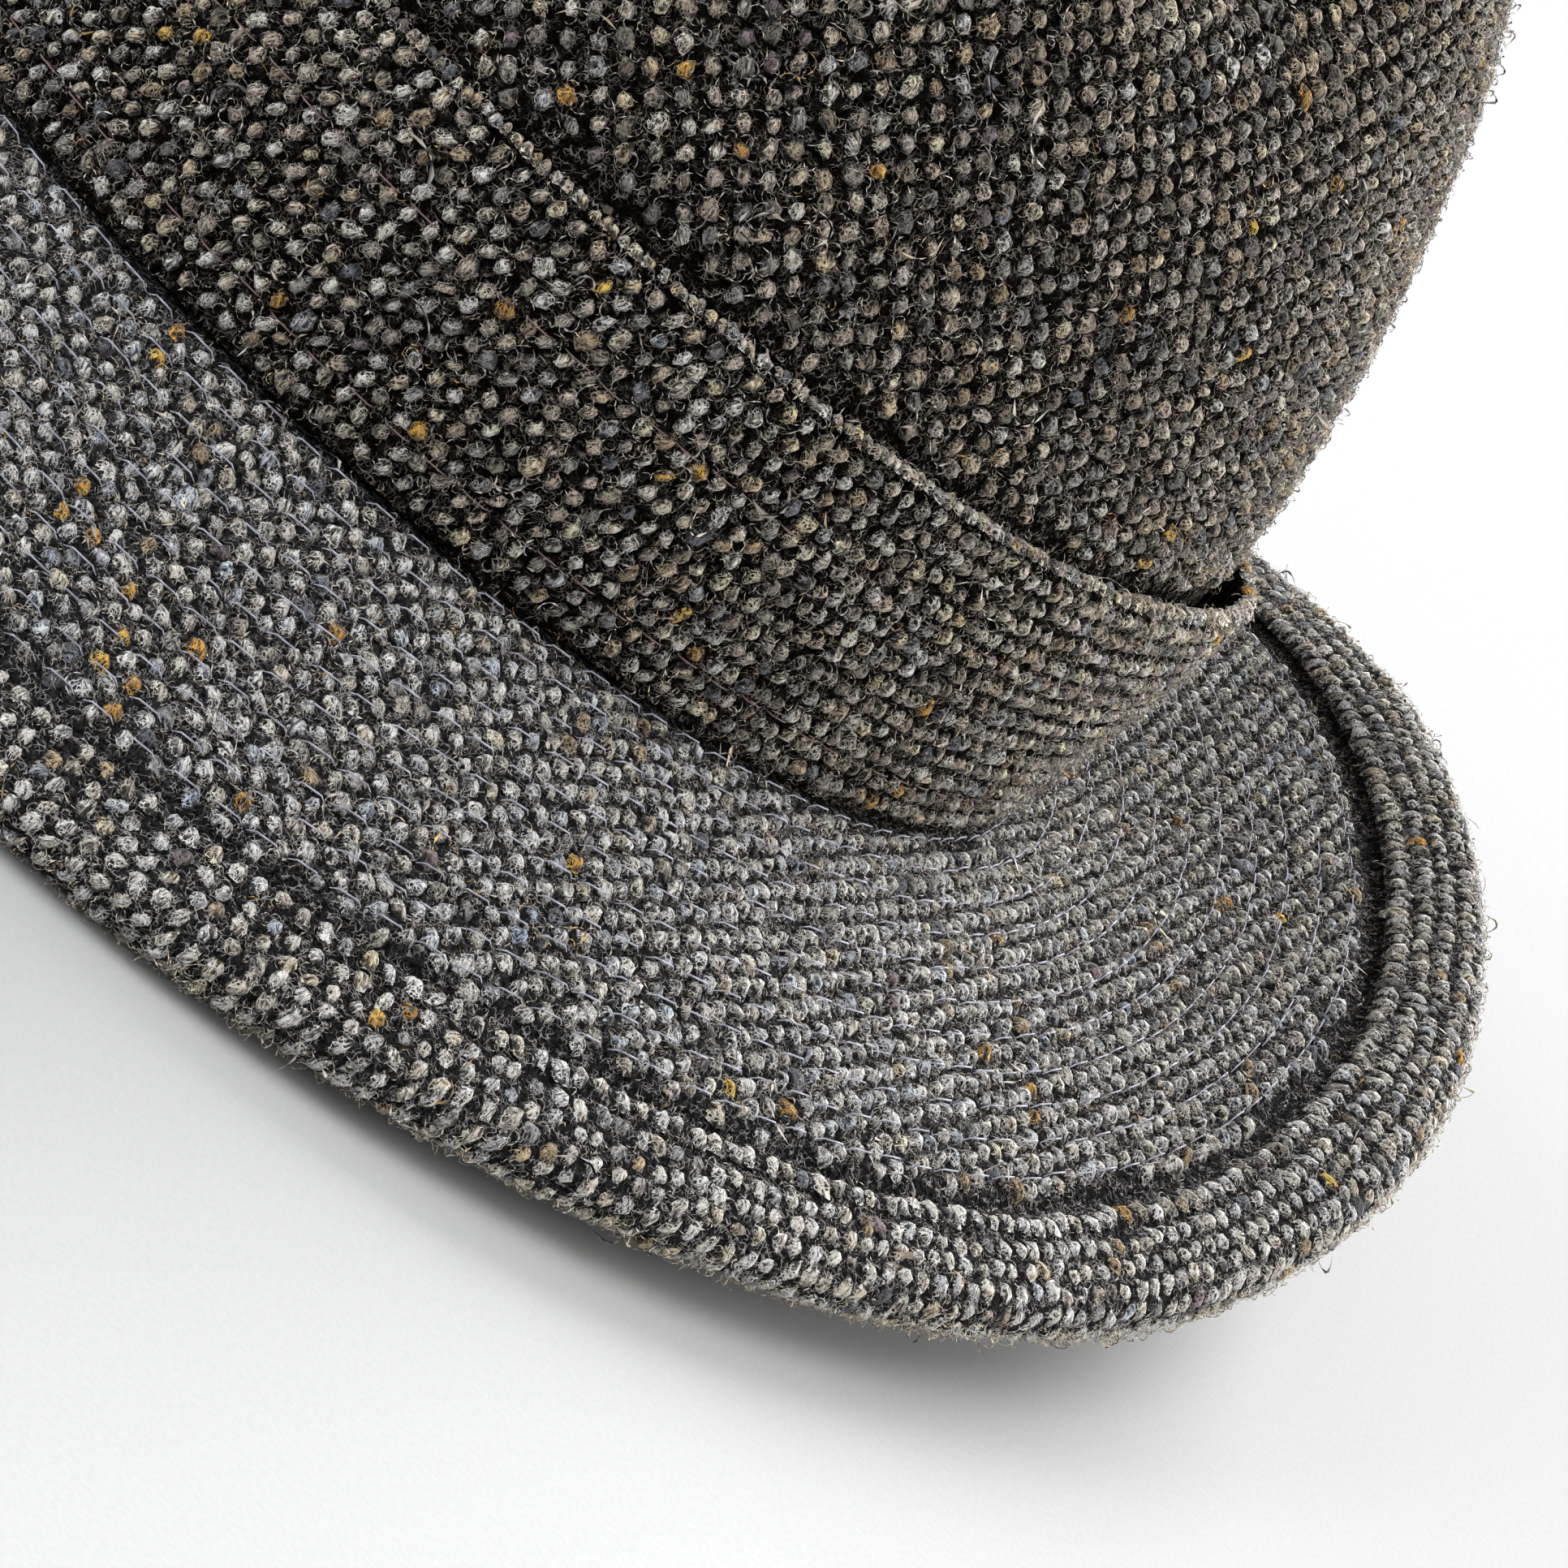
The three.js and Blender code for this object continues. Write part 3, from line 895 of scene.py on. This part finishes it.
def wool(name, surface, pale_places, dark_places, pale, dark_material, biased, size, seed):
    """The pale and dark tufts of one piece of cloth."""
    random = np.random.default_rng(seed)
    along, across = (BIAS_ALONG, BIAS_ACROSS) if biased else (V_WAY, U_WAY)
    grain = math.pi / 4 if biased else math.pi / 2
    colours = yarn_colours(pale_places, across, along, pale, TUFT_TONE_SPREAD, random)
    shape = UNDER_DOME if dark_places is None else PALE_DOME
    layers = [("pale", pale_places, grain, size, shape, colours, tuft_wool)]
    if dark_places is not None:
        plain = np.ones((len(dark_places), 3))
        turned = grain + math.pi / 2
        layers.append(("dark", dark_places, turned, DARK_SIZE, DARK_DOME, plain, dark_material))
    return [tufts(f"{name}_{kind}_tufts", surface, *layer, random) for kind, *layer in layers]


def crossings(u_reach, v_reach, u_pitch, v_pitch, odd):
    """Every second crossing of the threads about the origin, as on a chessboard."""
    columns, rows = math.ceil(u_reach / u_pitch), math.ceil(v_reach / v_pitch)
    u, v = np.arange(-columns, columns + 1), np.arange(-rows, rows + 1)
    u, v = np.meshgrid(u, v, indexing="ij")
    keep = (u + v) % 2 == odd
    return np.stack([u[keep] * u_pitch, v[keep] * v_pitch], -1)


def bias_crossings(girth, heights, shift):
    """Crossings of bias-cut cloth, in rows parallel to its edge, closing round the hat."""
    columns = round(girth / DIAGONAL_PITCH)
    u = (np.arange(columns) + shift) * girth / columns
    u, v = np.meshgrid(u, heights, indexing="ij")
    return np.stack([u.ravel(), v.ravel()], -1)


# The crossings start a little above the band's top, leaving a strip of bare dark ground there as
# painted shade under the band's fold.
CROWN_START = 35.7  # the first crossings that show above the band
SEAM_MARGIN = 0.9  # kept free beside the seam of the oval top


def side_places(odd):
    places = crossings(340, 250, THREAD_PITCH, PICK_PITCH, odd)
    length, up = crown_side_place(places[:, 0], places[:, 1])
    keep = (up > CROWN_START) & (up < SEAM_LENGTH - SEAM_MARGIN)
    return places[keep & (np.abs(length) < OVAL_GIRTH / 2 - 0.7)]


def top_places(odd):
    places = crossings(90, 110, THREAD_PITCH, PICK_PITCH, odd)
    reach = np.hypot(places[:, 0] / HALF_WIDTH, places[:, 1] / HALF_LENGTH) * MEAN_RADIUS
    return places[reach < CROWN_LENGTH - SEAM_LENGTH - SEAM_MARGIN]


def brim_places(odd):
    """Crossings over the brim; only the dark ones go down into the groove by the hem, which
    shows dark as painted shade.
    """
    places = crossings(200, 200, THREAD_PITCH, THREAD_PITCH, odd)
    length, along = brim_place(places[:, 0], places[:, 1])
    # The pale crossings stop short of the hem's groove, so that it shows as dark yarn: painted
    # shade where the cloth folds down.
    end = HEM_GROOVE + (0.9 if odd else -1.4)
    keep = (np.abs(length) < OVAL_GIRTH / 2 - 0.5) & (along > 1.2) & (along < end)
    return places[keep]


BAND_TOP_ROW = 33.8  # the top row of tufts lies along the band's fold
HALF_ROW = DIAGONAL_PITCH / 2
band_rows = BAND_TOP_ROW - DIAGONAL_PITCH * np.arange(14)
band_pale = bias_crossings(OVAL_GIRTH, band_rows[1:], 0.0)
band_dark = bias_crossings(OVAL_GIRTH, band_rows[1:] - HALF_ROW, 0.5)
fold_places = np.concatenate([bias_crossings(OVAL_GIRTH, band_rows[:1], s) for s in (0, 0.5)])
binding_rows = np.concatenate([[1.35], np.arange(4.5, BINDING_LENGTH - 0.9, DIAGONAL_PITCH)])
binding_pale = bias_crossings(EDGE_GIRTH, binding_rows, 0.0)
binding_dark = bias_crossings(EDGE_GIRTH, binding_rows[2:] - HALF_ROW, 0.5)

crown_how = (PALE, dark_wool, False, CROWN_TUFT)
band_how = (PALE_BAND, dark_wool, True, CROWN_TUFT)
brim_how = (PALE_BRIM_WITH_PAINTED_LIGHT, brim_dark_wool, False, BRIM_TUFT)
binding_how = (PALE_BINDING, brim_dark_wool, True, BINDING_TUFT)
crown_wool = wool("crown_side", crown_side, side_places(0), side_places(1), *crown_how, 11)
crown_wool += wool("crown_top", crown_top, top_places(0), top_places(1), *crown_how, 12)
band_wool = wool("band", band_face, band_pale, band_dark, *band_how, 13)
fold_random = np.random.default_rng(17)
fold_colours = yarn_colours(
    fold_places, U_WAY, V_WAY, PALE_BAND, FOLD_TONE_SPREAD, fold_random
)
fold_how = (math.pi / 2, FOLD_TUFT, PALE_DOME, fold_colours, tuft_wool, fold_random)
band_wool.append(tufts("band_fold_tufts", band_face, fold_places, *fold_how))
brim_wool = wool("brim_top", brim_top, brim_places(0), brim_places(1), *brim_how, 14)
brim_wool += wool("brim_under", brim_under, brim_places(0), None, *brim_how, 15)
binding_wool = wool("binding", binding_face, binding_pale, binding_dark, *binding_how, 16)


# ---- stitches


# How the stitches vary: along the row, in length, and across the row.
STITCH_PLACE_SPREAD = 0.18
STITCH_LENGTH_SPREAD = 0.06
STITCH_ROW_SPREAD = 0.12


def stitch_paths(row_at, rows, period, shown, middle, ends, random):
    """Points and outward normals of every stitch of some rows.

    period is a stitch with its gap, shown what is seen of it, middle and ends its heights.
    """
    shares = np.array([0.0, 0.2, 0.8, 1.0])
    heights = np.array([ends, middle, middle, ends])
    paths, normals = [], []
    turns = np.linspace(0, TURNS, 1441)
    for number, row in enumerate(rows):
        line = row_at(turns, row, 0.0)
        steps = np.linalg.norm(np.diff(line, axis=0), axis=-1)
        lengths = np.concatenate([[0], np.cumsum(steps)])
        count = round(lengths[-1] / period)
        starts = (np.arange(count) + 0.5 * (number % 2)) * lengths[-1] / count
        starts = starts + random.normal(0, STITCH_PLACE_SPREAD, count)
        spans = shown * varied(random, STITCH_LENGTH_SPREAD, count)
        places = starts[:, None] + shares[None] * spans[:, None]
        at = np.interp(np.mod(places, lengths[-1]), lengths, turns)
        drift = random.normal(0, STITCH_ROW_SPREAD, (count, 1)) * np.ones(len(shares))
        low_points = row_at(at, row + drift, 0.0)
        high_points = row_at(at, row + drift, 1.0)
        normal = unit(high_points - low_points)
        paths.append(low_points + normal * heights[None, :, None])
        normals.append(normal)
    return np.concatenate(paths), np.concatenate(normals)


def tubes(name, paths, normals, radius, sides, material, random):
    """Thin tubes along many short paths, narrowed where they go into the cloth."""
    count, steps = paths.shape[:2]
    forward = unit(np.gradient(paths, axis=1))
    side = unit(np.cross(forward, normals))
    up = np.cross(side, forward)
    angle = np.arange(sides) / sides * TURNS
    narrow = np.ones(steps)
    narrow[[0, -1]] = 0.6
    ring = side[:, :, None] * np.cos(angle)[:, None] + up[:, :, None] * np.sin(angle)[:, None]
    points = paths[:, :, None] + ring * narrow[None, :, None, None] * radius
    step, corner = np.meshgrid(np.arange(steps - 1), np.arange(sides), indexing="ij")
    step, corner = step.ravel(), corner.ravel()
    after = (corner + 1) % sides
    rims = (step * sides, (step + 1) * sides)
    faces = np.stack([rims[0] + corner, rims[0] + after, rims[1] + after, rims[1] + corner], -1)
    faces = repeated(faces, count, steps * sides)
    along = np.linspace(0, 3, steps)[None, :, None]
    shift = random.uniform(0, 200, (count, 1, 1))
    turn = np.arange(sides)[None, None, :]
    strand = stacked(along * 3 + turn * 1.3 + shift, turn * 0.5, shift)
    return make_mesh(name, points, faces, [material], {"strand": strand})


def band_line(turns, height, rise):
    return band_row(turns, height, BAND_WALL + rise)


thread_random = np.random.default_rng(31)
stitch_rows = np.linspace(FIRST_STITCH_ROW, LAST_STITCH_ROW, STITCH_ROWS)
brim_paths = stitch_paths(brim_row, stitch_rows, 4.6, 3.7, 0.52, -0.1, thread_random)
brim_stitches = tubes("brim_stitches", *brim_paths, 0.105, 3, brim_thread, thread_random)
band_paths = stitch_paths(band_line, (6.0, 22.5), 4.8, 3.2, 0.34, -0.15, thread_random)
band_stitches = tubes("band_stitches", *band_paths, 0.10, 3, band_thread, thread_random)


# ---- loose fibres

# Colours of loose fibres: share, colour.
FIBRE_COLOURS = (
    (0.60, (0.37, 0.325, 0.28)),
    (0.26, (0.52, 0.46, 0.40)),
    (0.04, (0.12, 0.105, 0.095)),
    (0.08, (0.50, 0.40, 0.28)),
    (0.02, (0.50, 0.30, 0.09)),
)
# Tan fibres along the brim's edge, paler than the rest: partly their colour, partly painted
# light, as if lit through from behind where they stand in shade.
EDGE_FIBRE_COLOURS_WITH_PAINTED_GLOW = (
    (0.70, (0.82, 0.67, 0.47)),
    (0.30, (0.86, 0.79, 0.67)),
)
FIBRE_STEPS = 6
FIBRE_WIDTH = 0.045
FIBRE_LENGTH = 1.4
FIBRE_RADIUS = 0.6  # of its curl
FIBRE_BASE = (0.10, 0.55)  # least and greatest height of a fibre's ends
FIBRE_WANDER = 0.12
FIBRE_ROLL = 0.9
FIBRE_LEAN = (0.45, 1.2)  # where along a fibre its top comes
FIBRE_LENGTH_SPREAD = 0.35
FIBRE_CURL_SPREAD = 0.5
FIBRE_LIFT_SPREAD = 0.5
FIBRE_WIDTH_SPREAD = 0.2
FIBRE_TONE_SPREAD = 0.2
PALEST_FIBRE = 0.9
MOST_CURL = 3.0  # radians
# Strays are the few longer, finer and paler fibres.
STRAY_SHARE = 0.03
STRAY_LENGTH = 3.4
STRAY_RADIUS = 3.2
STRAY_LIFT = 1.7
STRAY_FINENESS = 0.5
STRAY_PALENESS = 1.35


def loose_fibres(
    name, surface, places, random, colours=FIBRE_COLOURS, lift=0.3, stray_share=STRAY_SHARE
):
    """Thin curls that start in the cloth, and a few longer strays, as strips of triangles."""
    count = len(places)
    centre, u_way, v_way, normal = lay(surface, places)
    u_way, v_way = unit(u_way), unit(v_way)
    stray = random.random((count, 1)) < stray_share
    lengths = np.where(stray, STRAY_LENGTH, FIBRE_LENGTH)
    lengths = lengths * varied(random, FIBRE_LENGTH_SPREAD, (count, 1))
    radius = np.where(stray, STRAY_RADIUS, FIBRE_RADIUS)
    radius = radius * varied(random, FIBRE_CURL_SPREAD, (count, 1))
    side_sign = np.sign(random.normal(0, 1, (count, 1)))
    share = np.linspace(0, 1, FIBRE_STEPS)[None]
    turning = side_sign * np.minimum(lengths / radius, MOST_CURL) * share
    wander = random.normal(0, FIBRE_WANDER, (count, FIBRE_STEPS)).cumsum(1)
    heading = random.uniform(0, TURNS, (count, 1)) + turning + wander
    ds = lengths / (FIBRE_STEPS - 1)
    a = np.cumsum(np.cos(heading) * ds, 1)
    b = np.cumsum(np.sin(heading) * ds, 1)
    swell = np.sin(math.pi * share ** random.uniform(*FIBRE_LEAN, (count, 1)))
    lifts = lift * np.where(stray, STRAY_LIFT, 1.0)
    lifts = lifts * varied(random, FIBRE_LIFT_SPREAD, (count, 1))
    height = random.uniform(*FIBRE_BASE, (count, 1)) + lifts * swell
    paths = moved_from(centre, (a, u_way), (b, v_way), (height, normal))
    forward = unit(np.gradient(paths, axis=1))
    outward = np.broadcast_to(normal[:, None], forward.shape)
    side = unit(np.cross(forward, outward))
    up = np.cross(side, forward)
    roll = random.uniform(-FIBRE_ROLL, FIBRE_ROLL, (count, 1)) + share - 0.5
    flat = side * np.cos(roll)[..., None] + up * np.sin(roll)[..., None]
    width = FIBRE_WIDTH * varied(random, FIBRE_WIDTH_SPREAD, (count, 1))
    width = width * np.where(stray, STRAY_FINENESS, 1.0)
    sides = np.where(np.arange(FIBRE_STEPS) % 2, 1.0, -1.0)
    points = paths + flat * (sides * width / 2)[..., None]
    step = np.arange(FIBRE_STEPS - 2)
    odd = step % 2
    faces = np.stack([step + odd, step + 1 - odd, step + 2], -1)
    faces = repeated(faces, count, FIBRE_STEPS)
    bounds = np.cumsum([part for part, _ in colours])
    pick = np.searchsorted(bounds, random.random(count) * bounds[-1])
    chosen = np.array([colour for _, colour in colours])[pick]
    chosen = chosen * varied(random, FIBRE_TONE_SPREAD, (count, 1))
    chosen = chosen * np.where(stray, STRAY_PALENESS, 1.0)
    tint = np.ones((count, FIBRE_STEPS, 4))
    tint[..., :3] = np.clip(chosen, 0, PALEST_FIBRE)[:, None]
    return make_mesh(name, points, faces, [fibre_wool], {"tint": tint})


def scatter(random, count, u_range, v_range):
    return np.stack([random.uniform(*u_range, count), random.uniform(*v_range, count)], -1)


def picked(random, places, count):
    """Some of the places, each moved off its crossing."""
    chosen = random.integers(0, len(places), count)
    return places[chosen] + random.uniform(-THREAD_PITCH, THREAD_PITCH, (count, 2))


fibre_random = np.random.default_rng(47)
roots = picked(fibre_random, side_places(0), 32000)
crown_fibres = [loose_fibres("crown_side_fibres", crown_side, roots, fibre_random)]
roots = picked(fibre_random, top_places(0), 5000)
crown_fibres.append(loose_fibres("crown_top_fibres", crown_top, roots, fibre_random))
roots = scatter(fibre_random, 18000, (0, OVAL_GIRTH), (1, 34.5))
band_fibres = loose_fibres("band_fibres", band_face, roots, fibre_random)
roots = picked(fibre_random, brim_places(0), 26000)
brim_fibres = loose_fibres("brim_fibres", brim_top, roots, fibre_random)
roots = scatter(fibre_random, 14000, (0, EDGE_GIRTH), (0.5, BINDING_LENGTH - 2))
edge_roots = scatter(fibre_random, 5500, (0, EDGE_GIRTH), (12.5, 17.0))
# The edge fibres' pale tan is partly painted light.
edge_how = (fibre_random, EDGE_FIBRE_COLOURS_WITH_PAINTED_GLOW, 0.35, 0.0)
binding_fibres = [loose_fibres("binding_fibres", binding_face, roots, fibre_random)]
binding_fibres.append(loose_fibres("edge_fibres", binding_face, edge_roots, *edge_how))


# ---- what stands for what

GROUPS = (
    ("crown", "crown_tweed", crown_cloth, crown_wool + crown_fibres),
    ("band", "band_tweed", band_cloth, band_wool + [band_stitches, band_fibres]),
    ("brim", "brim_tweed", brim_cloth, brim_wool + [brim_stitches, brim_fibres]),
    ("brim_binding", "binding_tweed", binding_cloth, binding_wool + binding_fibres),
)
for node, slot, cloth, trims in GROUPS:
    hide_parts(node)
    for piece in [cloth] + trims:
        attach(piece, "root")


# ---- floor, light and camera


FLOOR_REACH = 12.0  # metres each way
PAPER = (0.475, 0.475, 0.475)


def make_floor():
    corners = [(-1, -1), (1, -1), (1, 1), (-1, 1)]
    points = [(x * FLOOR_REACH, y * FLOOR_REACH, 0.0) for x, y in corners]
    mesh = bpy.data.meshes.new("floor")
    mesh.from_pydata(points, [], [(0, 1, 2, 3)])
    material, tree, shader = new_material("pale_paper", 0.9, 0.0)
    grain = noise_node(tree, object_place(tree), 1400.0, 4.0)
    shade = map_range(tree, grain, 0.2, 0.8, 0.97, 1.03)
    shaded = scaled_colour(tree, plain_colour(tree, PAPER), shade)
    dress(tree, shader, shaded, grain, 0.12, 0.0002)
    mesh.materials.append(material)
    floor = add_object("floor", mesh)


def make_sun(name, strength, spread, direction, colour=(1, 1, 1)):
    lamp = bpy.data.lights.new(name, "SUN")
    lamp.energy = strength
    lamp.color = colour
    lamp.angle = math.radians(spread)
    sun = add_object(name, lamp)
    sun.rotation_mode = "QUATERNION"
    sun.rotation_quaternion = Vector(direction).to_track_quat("Z", "Y")


def make_world(strength):
    world = bpy.data.worlds.new("studio")
    world.use_nodes = True
    background = world.node_tree.nodes["Background"]
    background.inputs["Color"].default_value = (1, 1, 1, 1)
    background.inputs["Strength"].default_value = strength
    bpy.context.scene.world = world


# The camera in the hat's own frame, before the hat is tipped.
CAMERA_ANGLES = (-2.86, 13.33, 45.59)  # turn, rise and roll, in degrees
CAMERA_PLACE = (37.77, -59.43, 727.4)  # to its own right, up and back, in millimetres
SENSOR_WIDTH = 36.0
LENS = 156.77


def make_camera():
    turn, rise, roll = map(math.radians, CAMERA_ANGLES)
    back = np.array(
        [math.sin(turn) * math.cos(rise), -math.cos(turn) * math.cos(rise), math.sin(rise)]
    )
    level = np.array([math.cos(turn), math.sin(turn), 0.0])
    upright = np.cross(back, level)
    right = math.cos(roll) * level + math.sin(roll) * upright
    up = math.cos(roll) * upright - math.sin(roll) * level
    place = CAMERA_PLACE[0] * right + CAMERA_PLACE[1] * up + CAMERA_PLACE[2] * back
    data = bpy.data.cameras.new("camera")
    data.sensor_width = SENSOR_WIDTH
    data.lens = LENS
    data.clip_start = 0.05
    data.clip_end = 60
    camera = add_object("camera", data)
    axes = np.stack([tip(right), tip(up), tip(back)], 1)
    matrix = Matrix(axes.tolist()).to_4x4()
    matrix.translation = Vector(at_rest(place) / 1000)
    camera.matrix_world = matrix
    bpy.context.scene.camera = camera


make_floor()
make_world(0.54)
make_sun("top_light", 1.35, 45, (0.20, 0.05, 1.0))
make_sun("back_light", 6.2, 34, (0.17, 0.98, 0.45))
make_sun("side_light", 2.8, 40, (0.95, 0.40, 0.12))
make_sun("front_light", 2.3, 50, (-0.92, -0.34, 0.32), (0.92, 0.96, 1.0))
make_camera()
bpy.context.scene.view_settings.view_transform = "Standard"
